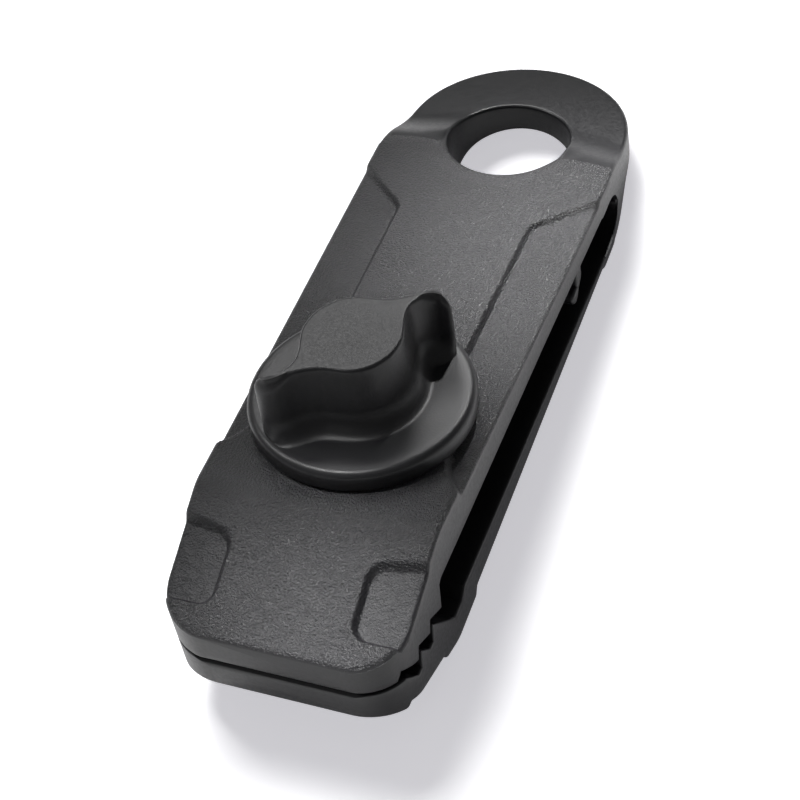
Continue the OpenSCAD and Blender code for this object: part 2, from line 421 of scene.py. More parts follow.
@dataclass(frozen=True)
class MouldedFinish:
    """Black moulded plastic with a spark-eroded or satin skin."""

    name: str
    colour: tuple[float, float, float] = (0.014, 0.0138, 0.0155)
    roughness: float = 0.5
    roughness_spread: float = 0.06
    grain_mm: float = 0.35
    grain_depth_mm: float = 0.02
    leather_mm: float = 0.0
    leather_depth_mm: float = 0.0
    mottle: float = 0.15
    mottle_mm: float = 9.0
    mottle_detail: float = 3.0
    mottle_rough: float = 0.6
    grain_detail: float = 2.0
    grain_rough: float = 0.65
    specular: float = 0.5

    def material(self) -> bpy.types.Material:
        """Builds the finish as shader nodes on Object coordinates."""
        mat = bpy.data.materials.new(self.name)
        mat.use_nodes = True
        tree = mat.node_tree
        place = add_node(tree, "TexCoord").outputs["Object"]

        def noise(size_mm: float, detail: float, rough: float) -> bpy.types.NodeSocket:
            """Value of a noise texture with spots of a size in millimetres."""
            scale = 1 / (size_mm * MM)
            node = add_node(
                tree, "TexNoise", Vector=place, Scale=scale, Detail=detail, Roughness=rough
            )
            return node.outputs["Fac"]

        def ramp(value: bpy.types.NodeSocket, low: float, high: float) -> bpy.types.NodeSocket:
            """Noise value spread out from low to high."""
            start, end = NOISE_SPAN
            node = add_node(
                tree, "MapRange", Value=value, From_Min=start, From_Max=end, To_Min=low, To_Max=high
            )
            return node.outputs["Result"]

        tint = add_node(tree, "Mix")
        tint.data_type = "RGBA"
        dark, pale = (
            (*(c * (1 + change) for c in self.colour), 1) for change in (-self.mottle, self.mottle)
        )
        cloud = noise(self.mottle_mm, self.mottle_detail, self.mottle_rough)
        wire(tree, tint, A=dark, B=pale, Factor=ramp(cloud, 0.0, 1.0))
        fine = noise(self.grain_mm, self.grain_detail, self.grain_rough)
        spread = self.roughness_spread
        skin = add_node(
            tree, "Bump", Strength=1.0, Distance=self.grain_depth_mm * MM, Height=fine
        ).outputs["Normal"]
        if self.leather_depth_mm:
            cells = add_node(tree, "TexVoronoi", Vector=place, Scale=1 / (self.leather_mm * MM))
            cells.feature = "SMOOTH_F1"
            height, depth = cells.outputs["Distance"], self.leather_depth_mm * MM
            skin = add_node(
                tree, "Bump", Strength=1.0, Distance=depth, Height=height, Normal=skin
            ).outputs["Normal"]
        wire(
            tree,
            tree.nodes["Principled BSDF"],
            Specular_IOR_Level=self.specular,
            Base_Color=tint.outputs["Result"],
            Roughness=ramp(fine, self.roughness - spread, self.roughness + spread),
            Normal=skin,
        )
        return mat


@dataclass(frozen=True)
class SteelFinish:
    """Bright zinc-plated steel with a faint drawn grain."""

    name: str = "zinc_steel_finish"
    colour: tuple[float, float, float] = (0.62, 0.63, 0.64)
    rough_low: float = 0.22
    rough_high: float = 0.42
    grain_mm: float = 0.12
    grain_detail: float = 3.0
    grain_depth_mm: float = 0.01
    grain_strength: float = 0.6

    def material(self) -> bpy.types.Material:
        """Builds the finish as shader nodes on Object coordinates."""
        mat = bpy.data.materials.new(self.name)
        mat.use_nodes = True
        tree = mat.node_tree
        place = add_node(tree, "TexCoord").outputs["Object"]
        scale = 1 / (self.grain_mm * MM)
        drawn = add_node(
            tree, "TexNoise", Vector=place, Scale=scale, Detail=self.grain_detail
        ).outputs["Fac"]
        spread = add_node(
            tree, "MapRange", Value=drawn, To_Min=self.rough_low, To_Max=self.rough_high
        )
        depth = self.grain_depth_mm * MM
        skin = add_node(tree, "Bump", Strength=self.grain_strength, Distance=depth, Height=drawn)
        wire(
            tree,
            tree.nodes["Principled BSDF"],
            Metallic=1.0,
            Base_Color=(*self.colour, 1),
            Roughness=spread.outputs["Result"],
            Normal=skin.outputs["Normal"],
        )
        return mat


GRAIN = MouldedFinish(
    "moulding_grain", roughness=0.4, roughness_spread=0.12, grain_mm=0.3, grain_depth_mm=0.3
)
SATIN = MouldedFinish(
    "moulding_satin", roughness=0.34, grain_mm=0.5, grain_depth_mm=0.008, mottle=0.1
)
PAD = MouldedFinish(
    "moulding_pad",
    roughness=0.42,
    grain_mm=0.25,
    grain_depth_mm=0.14,
    leather_mm=0.8,
    leather_depth_mm=0.1,
    specular=0.3,
)
INSIDE = MouldedFinish(
    "moulding_inside", roughness=0.34, grain_mm=0.6, grain_depth_mm=0.008, specular=0.25
)
KNOB = MouldedFinish(
    "knob_satin", roughness=0.4, grain_mm=0.3, grain_depth_mm=0.014, mottle=0.1, specular=0.42
)
STEEL = SteelFinish()


# ---------------------------------------------------------------- the moulding


@dataclass(frozen=True)
class Outline:
    """Plan outline and outer face that both arms and the ring share.

    Half widths lie along X, half heights along Z. A name that ends in _s is a distance from the
    eye's centre towards the jaws, one in _r a radius, one in _x a distance from the middle, and a
    slope or a lean is a rise for each millimetre of run.
    """

    # eye and ring, whose outline is a circle with its centre shifted to the far end
    eye_r: float = 9.0
    wall_r: float = 11.3
    ring_r: float = 16.6
    ring_shift: float = 2.8
    ring_half: float = 3.75
    ring_slope: float = math.tan(math.radians(8.5))
    # tapered sides, and the flared root between the ring's circle and the sides
    half_w: float = 17.9
    taper: float = math.tan(math.radians(1.0))
    flare_s: float = -5.0
    flare_end: float = 5.0
    flare_blend: float = 1.0
    root_end: float = 7.0
    # ramp from the ring's face up to the raised panel
    ramp_start: float = -2.6
    ramp_start_lean: float = 0.22
    ramp_end: float = 3.9
    ramp_end_lean: float = 0.1
    ramp_round: float = 0.45
    # seam of ring and arms, and the raised panel
    seam_s: float = 11.6
    panel_half: float = 6.1
    panel_slope: float = math.tan(math.radians(4.35))
    # sunk strips beside the panel, from their slanted start to their round end
    strip_half: float = 5.5
    strip_slope: float = math.tan(math.radians(3.75))
    strip_start: float = 12.4
    strip_corner: float = 19.6
    strip_x: float = 10.2
    strip_end: float = 69.1
    strip_end_r: float = 10.0
    strip_end_out: float = 6.4
    strip_end_back: float = 7.8
    strip_wall: float = 0.4
    strip_bend_r: float = 0.6
    # knob's seat, the bend where the panel ends, and the jaw
    knob_s: float = 58.7
    seat_r: float = 13.4
    bend_s: float = 76.0
    bend_width: float = 0.5
    jaw_s: float = 94.4
    jaw_half: float = 5.35
    jaw_r: float = 7.0
    # sunk finger pads on the jaw
    pad_s: float = 79.8
    pad_slant: float = 0.15
    pad_end: float = 90.9
    pad_x: float = 8.95
    pad_r: float = 2.5
    pad_depth: float = 1.06
    pad_wall: float = 0.9
    pad_finish: float = 0.8
    sunk_margin: float = 2.0
    # rounded edges, the dish where the panel meets the eye, and how far up the ramp is satin
    edge_r: float = 0.6
    hole_ring_r: float = 0.5
    hole_panel_r: float = 1.4
    hole_change: tuple[float, float] = (-1.0, 4.0)
    eye_wall_skin: float = 0.15
    dish: float = 0.45
    dish_w: float = 4.0
    satin_ramp: float = 0.9

    def side(self, s: float) -> float:
        """Half width between the straight tapered sides."""
        return self.half_w - s * self.taper

    def width(self, s: float) -> float:
        """Half width of the arms at s, with the round front corners.

        Args:
            s: Distance from the eye towards the jaws.

        Returns:
            The half width.
        """
        front = self.jaw_s - self.jaw_r
        if s <= front:
            return self.side(s)
        reach = max(self.jaw_r**2 - (s - front) ** 2, 0.0)
        return self.side(front) - self.jaw_r + math.sqrt(reach)

    def flare(self, s: float) -> float:
        """Half width of the line on which the outline leaves the ring's circle."""
        start = math.sqrt(self.ring_r**2 - (self.flare_s + self.ring_shift) ** 2)
        return start - (s - self.flare_s) * (self.flare_s + self.ring_shift) / start

    def root(self, s: float) -> float:
        """Half width of the root, where the outline runs from the ring to the sides."""
        return smooth_min(self.side(s), self.flare(s), self.flare_blend)

    def depth(self, x: float, s: float) -> float:
        """Depth inside the whole outline, ring and arms together.

        Args:
            x: Distance from the middle, to the right.
            s: Distance from the eye towards the jaws.

        Returns:
            The depth, negative outside.
        """
        if s < self.flare_s:
            return self.ring_r - math.hypot(x, s + self.ring_shift)
        if s < self.root_end:
            return self.root(s) - abs(x)
        return corner_depth(self.side(s) - abs(x), self.jaw_s - s, self.jaw_r)

    def ramp(self, x: float, s: float) -> float:
        """Share of the rise from the ring's face to the raised panel.

        Args:
            x: Distance from the middle, to the right.
            s: Distance from the eye towards the jaws.

        Returns:
            A share from 0 to 1.
        """
        out = abs(x) - self.eye_r
        start = self.ramp_start + out * self.ramp_start_lean
        share = (s - start) / (self.ramp_end + out * self.ramp_end_lean - start)
        return smooth_min(smooth_max(share, 0.0, self.ramp_round), 1.0, self.ramp_round)

    def hole_edge(self, s: float) -> float:
        """Radius of the eye's rounded edge, crisp on the ring and soft on the panel."""
        share = smoothstep(*self.hole_change, s)
        return self.hole_ring_r + (self.hole_panel_r - self.hole_ring_r) * share

    def panel(self, s: float) -> float:
        """Half height of the raised panel."""
        return self.panel_half + s * self.panel_slope

    def ring(self, s: float) -> float:
        """Half height of the ring face."""
        return self.ring_half + s * self.ring_slope

    def jaw(self, s: float) -> float:
        """Half height of the outer jaw face."""
        fall = (self.panel(self.bend_s) - self.jaw_half) / (self.jaw_s - self.bend_s)
        return self.jaw_half + (self.jaw_s - s) * fall

    def strip_depth(self, x: float, s: float) -> float:
        """Depth inside a sunk side strip, negative outside it.

        Args:
            x: Distance from the middle, to the right.
            s: Distance from the eye towards the jaws.

        Returns:
            The depth.
        """
        x = abs(x)
        inner = x - (self.strip_x - s * self.taper)
        x1, s1 = self.side(self.strip_start), self.strip_start
        x2, s2 = self.strip_x - self.strip_corner * self.taper, self.strip_corner
        length = math.hypot(x2 - x1, s2 - s1)
        start = ((s - s1) * (x1 - x2) + (x - x1) * (s2 - s1)) / length
        depth = smooth_min(inner, start, self.strip_bend_r)
        depth = min(depth, math.hypot(x, s - self.knob_s) - self.seat_r)
        centre_s = self.strip_end - self.strip_end_back
        if s > centre_s:
            centre_x = self.side(self.strip_end) + self.strip_end_out
            depth = min(depth, self.strip_end_r - math.hypot(x - centre_x, s - centre_s))
        return depth

    def pad_depth_in(self, x: float, s: float) -> float:
        """Depth inside a finger pad's plan outline, negative outside it.

        Args:
            x: Distance from the middle, to the right.
            s: Distance from the eye towards the jaws.

        Returns:
            The depth.
        """
        x = abs(x)
        rear = self.pad_s + (self.side(s) - x) * self.pad_slant
        return min(
            corner_depth(x - self.pad_x, s - rear, self.pad_r),
            corner_depth(x - self.pad_x, self.pad_end - s, self.pad_r),
        )

    def face(self, x: float, s: float) -> float:
        """Half height of the outer face, before its outer edges are rounded.

        Args:
            x: Distance from the middle, to the right.
            s: Distance from the eye towards the jaws.

        Returns:
            The half height.
        """
        height = smooth_min(self.panel(s), self.jaw(s), self.bend_width)
        if s < self.root_end:
            height = self.ring(s) + (height - self.ring(s)) * self.ramp(x, s)
        if 0 < s < self.eye_r + self.dish_w:
            far = smoothstep(self.eye_r, self.eye_r + self.dish_w, math.hypot(x, s))
            height -= self.dish * (1 - far) * smoothstep(0, self.dish_w, s)
        if self.strip_start - self.sunk_margin < s < self.strip_end + self.sunk_margin:
            sunk = smoothstep(-self.strip_wall, self.strip_wall, self.strip_depth(x, s))
            height += (self.strip_half + s * self.strip_slope - height) * sunk
        if self.pad_s - self.sunk_margin < s < self.pad_end + self.sunk_margin:
            height -= self.pad_depth * smoothstep(0, self.pad_wall, self.pad_depth_in(x, s))
        return height

    def region(self, x: float, s: float, lean: float) -> Region:
        """Finish of the moulding at a place, from how much its surface faces up or down.

        Args:
            x: Distance from the middle, to the right.
            s: Distance from the eye towards the jaws.
            lean: The normal's share along Z, outwards.

        Returns:
            The region.
        """
        if abs(lean) < FACING:
            return Region.SATIN
        if s < self.flare_end and self.ramp(x, s) < self.satin_ramp:
            return Region.SATIN
        in_pad = self.pad_depth_in(x, s) > self.pad_wall * self.pad_finish
        if in_pad and self.pad_s < s < self.pad_end:
            return Region.PAD
        return Region.GRAIN


@dataclass
class ArmSkin:
    """One springy arm with its jaw: a row of closed sections from the seam to the blunt front."""

    outline: Outline
    slot_side: Sequence[tuple[float, float]]
    face: Face
    slot_edge_r: float = 0.35
    lip_edge_r: float = 0.35
    least_wide: float = 0.4
    edge_steps: int = 6
    column_size: float = 0.38
    strip_columns: tuple[float, float, float] = (6.2, 8.4, 0.15)
    centre_columns: int = 9
    wall_steps: int = 5
    inside_columns: int = 10
    corner_gap: float = 0.08
    runs: Sequence[tuple[float, float]] = (
        (22, 0.3), (60, 1.0), (70, 0.35), (79, 0.45), (92, 0.25)
    )

    def offsets(self) -> list[float]:
        """Distances of the outer face's columns from the side, out to in."""
        r = self.outline.edge_r
        rounded = [r * (1 - math.cos(a)) for a in quarter(self.edge_steps)[:-1]]
        low, high, fine = self.strip_columns
        return rounded + steps(r, low, self.column_size) + steps(low, high, fine)

    def section(self, s: float) -> Ring:
        """Closed section of the arm at s, upper side first, from left to right and back.

        Args:
            s: Distance from the eye towards the jaws.

        Returns:
            The section's points.
        """
        o = self.outline
        width = o.width(s)
        fixed = self.offsets()
        least = self.least_wide
        inner = max(width - self.strip_columns[1], least)
        columns = [min(d, width - least * (1 - i / len(fixed))) for i, d in enumerate(fixed)]
        centre = [inner * (1 - i / self.centre_columns) for i in range(self.centre_columns)]
        right = [width - d for d in columns] + centre
        front = edge_drop(o.jaw_s - s, self.lip_edge_r)
        slot = along(self.slot_side, s)
        top = []
        for x in right:
            top.append((x, o.face(x, s) - edge_drop(o.depth(x, s), o.edge_r)))
        left = [(-x, z) for x, z in top]
        across = left + [(0.0, top[-1][1])] + list(reversed(top))
        r = self.slot_edge_r
        wall_top = top[0][1]
        wall_low = slot + r
        count = self.wall_steps
        wall = [(width, wall_top + (wall_low - wall_top) * i / count) for i in range(1, count)]
        under = []
        for turn in quarter(3):
            z = slot + max(r * (1 - math.sin(turn)), front)
            under.append((width - r * (1 - math.cos(turn)), z))
        count = self.inside_columns
        inside = [((width - r) * (1 - i / count), slot + front) for i in range(1, count)]
        down = wall + under + inside
        loop = across + down + [(0.0, slot + front)] + [(-x, z) for x, z in reversed(down)]
        return [(x, -s, z) for x, z in loop]

    def stations(self) -> list[float]:
        """Distances of all sections, fine where the shape changes."""
        o = self.outline
        marks: list[float] = []
        start = o.seam_s
        for end, size in self.runs:
            marks += steps(start, end, size)
            start = end
        front = o.jaw_s - o.jaw_r
        marks += [front + o.jaw_r * math.sin(a) for a in quarter(20)]
        corners = [s for s, _ in self.slot_side if o.seam_s <= s <= o.jaw_s]
        kept: list[float] = []
        for s in sorted(marks):
            clear = all(abs(s - c) > self.corner_gap for c in corners)
            if clear and (not kept or s - kept[-1] > self.corner_gap / 4):
                kept.append(s)
        return sorted({*kept, *corners, o.jaw_s})

    def mesh(self) -> bmesh.types.BMesh:
        """Builds the arm's closed mesh."""
        bm = loft([self.section(s) for s in self.stations()])
        return mirrored(bm) if self.face is Face.LOWER else bm


def mark_regions(bm: bmesh.types.BMesh, outline: Outline, inner_half: float = 2.0) -> None:
    """Gives each face of a moulding the slot of its finish.

    Args:
        bm: The moulding's mesh, in metres.
        outline: The clip's outline.
        inner_half: Side faces of the arms nearer the mid-plane than this are satin.
    """
    for face in bm.faces:
        x, y, z = face.calc_center_median() / MM
        lean = face.normal.z if z > 0 else -face.normal.z
        if lean < -FACING:
            region = Region.INSIDE
        elif abs(z) < inner_half and -y > outline.seam_s:
            region = Region.SATIN
        elif math.hypot(x, y) < outline.eye_r + outline.eye_wall_skin:
            region = Region.INSIDE
        else:
            region = outline.region(x, -y, lean)
        face.material_index = region.value


@dataclass
class RingSkin:
    """Ring, eye and root of both arms: sections from the eye to the outline, once round."""

    outline: Outline
    slot_s: float = 8.9
    slot_up: float = 2.7
    slot_down: float = 5.0
    slot_end: float = 4.0
    far_steps: int = 50
    side_step: float = 0.4
    seam_steps: int = 20
    top_steps: int = 22
    edge_steps: int = 6
    edge_spread: float = 1.15
    thin_share: float = 0.75
    wall_steps: int = 4
    rim_steps: int = 3
    notch_steps: int = 7
    smooth_rounds: int = 3
    search_steps: int = 80

    @property
    def slot_z(self) -> float:
        """Height of the slot's centre line."""
        return (self.slot_up - self.slot_down) / 2

    @property
    def slot_r(self) -> float:
        """Radius of the slot's round end."""
        return (self.slot_up + self.slot_down) / 2

    def border(self) -> list[tuple[float, float]]:
        """Points of the plan outline's right half, from the far end to the seam's middle."""
        o = self.outline
        points: list[tuple[float, float]] = []
        last = math.asin((o.flare_s + o.ring_shift) / o.ring_r)
        for i in range(self.far_steps):
            turn = -math.pi / 2 + (last + math.pi / 2) * i / self.far_steps
            points.append((o.ring_r * math.cos(turn), o.ring_r * math.sin(turn) - o.ring_shift))
        points += [(o.root(s), s) for s in steps(o.flare_s, o.seam_s, self.side_step)]
        edge = o.side(o.seam_s)
        count = self.seam_steps
        points += [(edge * (1 - i / count), o.seam_s) for i in range(count)]
        return points

    def notch_start(self, out: Vector, inner: Vector) -> Vector:
        """Innermost point of the slot on the line from the outline to the eye.

        Args:
            out: Point of the plan outline, as (x, s).
            inner: Matching point of the eye's edge.

        Returns:
            The point, as (x, s).
        """
        o = self.outline
        line = inner - out
        best = 0.0
        for i in range(self.search_steps + 1):
            share = i / self.search_steps
            at = out + line * share
            if at.length < o.wall_r or at.y <= self.slot_end:
                break
            best = share
        return out + line * best

    def slot_half(self, s: float) -> float:
        """Half height of the slot at s.

        Args:
            s: Distance from the eye towards the jaws.

        Returns:
            The half height.
        """
        if s >= self.slot_s:
            return self.slot_r
        share = (self.slot_s - s) / (self.slot_s - self.slot_end)
        return self.slot_r * math.sqrt(max(1 - share * share, 0.0))

    def section(self, out: Vector, inner: Vector) -> Ring:
        """Closed section from the eye's wall out along one line and back.

        Args:
            out: Point of the plan outline, as (x, s).
            inner: Matching point of the eye's edge.

        Returns:
            The section's points.
        """
        o = self.outline
        line = inner - out
        length = line.length
        turns = quarter(self.edge_steps)
        shares = [o.edge_r * (1 - math.cos(a)) * self.edge_spread / length for a in turns]
        hole = o.hole_edge(inner.y)
        tail = [1 - hole * (1 - math.cos(a)) / length for a in reversed(turns)]
        gap = tail[0] - shares[-1]
        middle = [shares[-1] + gap * i / self.top_steps for i in range(1, self.top_steps)]
        upper: list[Point] = []
        for share in shares + middle + tail:
            at = out + line * share
            half = o.face(at.x, at.y)
            drop = edge_drop(o.depth(at.x, at.y), min(o.edge_r, half * self.thin_share))
            upper.append((at.x, -at.y, half - drop - edge_drop(at.length - o.eye_r, hole)))
        wall_half = upper[-1][2]
        count = self.wall_steps
        eye_wall = [
            (inner.x, -inner.y, wall_half * (1 - i / count)) for i in range(1, 2 * count)
        ]
        lower = [(x, y, -z) for x, y, z in reversed(upper)]
        start = self.notch_start(out, inner)
        rim_half = upper[0][2]
        top_z = min(self.slot_z + self.slot_half(out.y), rim_half)
        low_z = max(self.slot_z - self.slot_half(out.y), -rim_half)
        if out.y <= self.slot_end:
            top_z = low_z = self.slot_z
        rim = [i / self.rim_steps for i in range(self.rim_steps + 1)]
        outer_low = [(out.x, -out.y, -rim_half + (low_z + rim_half) * t) for t in rim[1:]]
        floor, roof = [], []
        for i in range(1, self.notch_steps + 1):
            at = out + (start - out) * (i / self.notch_steps)
            half = self.slot_half(at.y) if out.y > self.slot_end else 0.0
            floor.append((at.x, -at.y, self.slot_z - half))
            roof.append((at.x, -at.y, self.slot_z + half))
        low, gap = floor[-1][2], roof[-1][2] - floor[-1][2]
        back = [(start.x, -start.y, low + gap * i / count) for i in range(1, count)]
        outer_high = [(out.x, -out.y, top_z + (rim_half - top_z) * t) for t in rim[:-1]]
        notch = floor + back + list(reversed(roof))
        return upper + eye_wall + lower + outer_low + notch + outer_high

    def mesh(self) -> bmesh.types.BMesh:
        """Builds the closed mesh of the ring and the root."""
        half = self.border()
        o = self.outline
        angles = [math.atan2(s, x) for x, s in half]
        for _ in range(self.smooth_rounds):
            angles = [
                a if i in (0, len(angles) - 1) else (angles[i - 1] + 2 * a + angles[i + 1]) / 4
                for i, a in enumerate(angles)
            ]
        sections: list[Ring] = []
        for (x, s), angle in zip(half, angles):
            inner = Vector((math.cos(angle), math.sin(angle))) * o.eye_r
            sections.append(self.section(Vector((x, s)), inner))
        front = self.section(Vector((0.0, o.seam_s)), Vector((0.0, o.eye_r)))
        mirror = [[(-x, y, z) for x, y, z in ring] for ring in reversed(sections[1:])]
        rings = sections + [front] + mirror + [sections[0]]
        return loft(rings, capped=False)


@dataclass
class SpringTongue:
    """Curled tongue under the upper arm, between the seam and the screw."""

    centre_s: float = 21.3
    root_z: float = 4.2
    stem_z: tuple[float, float] = (2.5, 1.6)
    low_z: float = 0.7
    curl_r: float = 2.1
    half_t: float = 1.1
    half_w: float = 17.1
    round_r: float = 0.45
    round_share: float = 0.9
    end_share: float = 0.05
    end_taper: float = 0.4

    def path(self) -> list[tuple[float, float, float]]:
        """Places and turns along the tongue, as (s, z, turn)."""
        places = [(self.centre_s, z, 0.0) for z in (self.root_z, *self.stem_z, self.low_z)]
        for turn in quarter(10)[1:]:
            s = self.centre_s + self.curl_r * (1 - math.cos(turn))
            places.append((s, self.low_z - self.curl_r * math.sin(turn), turn))
        return places

    def ring(self, s: float, z: float, turn: float, half_t: float, half_w: float) -> Ring:
        """Rounded oblong across the clip, square to the tongue's path.

        Args:
            s: Distance from the eye towards the jaws.
            z: Height of its middle.
            turn: Turn of the tongue's path there.
            half_t: Half its thickness.
            half_w: Half its width.

        Returns:
            The points of the oblong.
        """
        normal = (math.cos(turn), math.sin(turn))
        r = min(self.round_r, half_t * self.round_share)
        corners = [(half_w - r, half_t - r, 0), (-half_w + r, half_t - r, 1)]
        corners += [(-half_w + r, -half_t + r, 2), (half_w - r, -half_t + r, 3)]
        loop: Ring = []
        for x, t, corner in corners:
            for turn_in in quarter(4):
                a = math.pi / 2 * corner + turn_in
                px, pt = x + r * math.cos(a), t + r * math.sin(a)
                loop.append((px, -(s - pt * normal[0]), z + pt * normal[1]))
        return loop

    def mesh(self) -> bmesh.types.BMesh:
        """Builds the tongue with a rounded free end."""
        rings = [self.ring(s, z, turn, self.half_t, self.half_w) for s, z, turn in self.path()]
        s, z, turn = self.path()[-1]
        for a in quarter(5)[1:]:
            half_t = self.half_t * max(math.cos(a), self.end_share)
            half_w = self.half_w - (self.half_t - half_t) * self.end_taper
            rings.append(self.ring(s + self.half_t * math.sin(a), z, turn, half_t, half_w))
        return loft(rings)


# ---------------------------------------------------------------- the knob


@dataclass(frozen=True)
class KnobFrame:
    """The knob's own axes: its foot on the raised panel, turned to stand square to it."""

    outline: Outline

    def stand(self, bm: bmesh.types.BMesh) -> bmesh.types.BMesh:
        """Moves a mesh from the knob's own axes into the clip's frame.

        Args:
            bm: The mesh, in metres.

        Returns:
            The same mesh.
        """
        o = self.outline
        foot = Vector((0, -o.knob_s, o.panel(o.knob_s))) * MM
        matrix = Matrix.Translation(foot) @ Matrix.Rotation(-math.atan(o.panel_slope), 4, "X")
        bmesh.ops.transform(bm, matrix=matrix, verts=bm.verts)
        return bm


@dataclass
class ClampKnob:
    """Round flange with an S-shaped grip: a hub and two wings that curl with the rim."""

    frame: KnobFrame
    # flange and its underside
    flange_r: float = 15.0
    flange_h: float = 3.4
    flange_gap: float = 0.3
    rim_r: float = 1.0
    low_edge_r: float = 0.4
    low_radii: tuple[float, float] = (12.0, 7.3)
    # grip's top, its rounded edge and the fall of its tips
    top_h: float = 13.5
    top_edge: float = 0.5
    tip_start: float = 10.8
    tip_fall: float = 0.09
    ridge_r: float = 1.5
    crown_reach: float = 1.3
    crown_shares: tuple[float, ...] = (1.0, 0.75, 0.5, 0.3, 0.0)
    bulge_r: tuple[float, float] = (9.5, 12.5)
    bulge_turn: tuple[float, float] = (45.0, 52.0)
    tip_r: tuple[float, float] = (12.2, 13.2)
    # points round the grip, and how its outline and foot are smoothed
    points: int = 240
    guide_steps: int = 24
    tip_points: int = 7
    cove_w: float = 2.6
    cove_rounds: int = 30
    foot_gap: float = 1.1
    foot_rounds: int = 8
    rim_rounds: int = 60
    # cove between the grip's side and the flange
    cove_top: float = 6.9
    cove_share: float = 0.12
    cove_turn: float = math.radians(80)
    side_rows: int = 8
    cove_rows: int = 14
    flange_shares: tuple[float, ...] = (0.06, 0.2, 0.4, 0.6, 0.8, 1.0)

    def half_outline(self) -> list[tuple[float, float]]:
        """Guide points of the grip's top edge, from the right-hand wing round to the left."""
        return [
            (6.62, 0.6), (6.2, 2.4), (5.6, 4.4), (5.4, 6.2), (5.8, 7.6), (6.65, 8.65),
            (7.7, 9.2), (8.6, 9.3), (9.35, 9.35), (9.7, 9.7), (9.35, 10.2), (8.55, 10.6),
            (7.6, 10.7), (6.65, 10.45), (5.8, 9.75), (5.05, 8.95), (4.15, 8.2), (3.0, 7.55),
            (1.6, 7.0), (0.0, 6.8), (-1.8, 6.6), (-3.4, 6.0), (-4.8, 4.9), (-5.95, 3.2),
            (-6.5, 1.4),
        ]

    def outline_points(self) -> list[Vector]:
        """Evenly spaced points of the grip's closed top edge."""
        half = self.half_outline()
        guides = [Vector(p) for p in half] + [Vector((-x, -y)) for x, y in half]
        count = len(guides)
        dense: list[Vector] = []
        for i in range(count):
            a, b, c, d = (guides[(i + k - 1) % count] for k in range(4))
            for j in range(self.guide_steps):
                t = j / self.guide_steps
                dense.append(
                    0.5 * ((2 * b) + (c - a) * t + (2 * a - 5 * b + 4 * c - d) * t * t
                           + (3 * b - a - 3 * c + d) * t**3)
                )
        return resample(dense, self.points)

    def mesh(self) -> bmesh.types.BMesh:
        """Builds the grip, its cove, the flange and its rim as rings from the top down."""
        top = self.outline_points()
        foot = self.foot_points(top)
        rings: list[Ring] = []

        def add(points: Sequence[Vector], heights: Sequence[float]) -> None:
            """Adds one ring, which droops with the wings as it lies above the flange."""
            ring = []
            for p, height in zip(points, heights):
                rise = max((height - self.flange_h) / (self.top_h - self.flange_h), 0.0)
                ring.append((p.x, p.y, height - rise * self.droop(p)))
            rings.append(ring)

        def level(height: float) -> list[float]:
            """One height for every point of a ring."""
            return [height] * len(top)

        edges = [self.edge_radius(p) for p in top]
        middle = self.middle_line(top)
        crown = inset(top, middle, [e * self.crown_reach for e in edges])
        for share in self.crown_shares:
            add(blend_points(crown, middle, share), level(self.top_h))
        for a in quarter(5):
            line = inset(top, middle, [e * (1 - math.sin(a)) for e in edges])
            add(line, [self.top_h - e * (1 - math.cos(a)) for e in edges])
        for i in range(1, self.side_rows + 1):
            t = i / self.side_rows
            heights = [self.top_h - e + (self.cove_top - self.top_h + e) * t for e in edges]
            add(blend_points(top, foot, self.cove_share * t), heights)
        fall = self.flange_h - self.cove_top
        for i in range(1, self.cove_rows + 1):
            a = self.cove_turn * i / self.cove_rows
            out = (1 - math.cos(a)) / (1 - math.cos(self.cove_turn))
            down = math.sin(a) / math.sin(self.cove_turn)
            share = self.cove_share + (1 - self.cove_share) * out
            add(blend_points(top, foot, share), level(self.cove_top + fall * down))
        rim = [Vector((math.cos(a), math.sin(a))) for a in self.rim_angles(foot)]
        inner = self.flange_r - self.rim_r
        for t in self.flange_shares:
            add([f.lerp(d * inner, t) for f, d in zip(foot, rim)], level(self.flange_h))
        rows = []
        for a in quarter(5)[1:]:
            height = self.flange_h - self.rim_r * (1 - math.cos(a))
            rows.append((inner + self.rim_r * math.sin(a), height))
        for a in quarter(4):
            height = self.flange_gap + self.low_edge_r * (1 - math.sin(a))
            rows.append((self.flange_r - self.low_edge_r * (1 - math.cos(a)), height))
        rows += [(radius, self.flange_gap) for radius in self.low_radii]
        for radius, height in rows:
            add([d * radius for d in rim], level(height))
        return self.frame.stand(loft(rings))

    def middle_line(self, top: Sequence[Vector]) -> list[Vector]:
        """Middle of the grip for each point of its outline, so that both sides meet there.

        Args:
            top: Points of the grip's top edge.

        Returns:
            The middle for each point.
        """
        count = len(top)
        tip = max(range(count // 2), key=lambda i: top[i].length)
        half = count // 2
        out = [Vector((0.0, 0.0))] * count
        for k in range(half + 1):
            near = min(max(k, self.tip_points), half - self.tip_points)
            at = (top[(tip + near) % count] + top[(tip - near) % count]) / 2
            out[(tip + k) % count] = out[(tip - k) % count] = at
        return out

    def edge_radius(self, point: Vector) -> float:
        """Rounding of the grip's top edge, which grows on the bulging side of the wings.

        Args:
            point: Point of the top edge.

        Returns:
            The radius.
        """
        turn = math.degrees(math.atan2(point.y, point.x)) % 180
        bulge = smoothstep(*self.bulge_r, point.length) * smoothstep(*self.bulge_turn, turn)
        return self.top_edge + self.ridge_r * max(bulge, smoothstep(*self.tip_r, point.length))

    def droop(self, point: Vector) -> float:
        """How far the grip's top has fallen at a point of a wing."""
        return self.tip_fall * max(point.length - self.tip_start, 0.0) ** 2

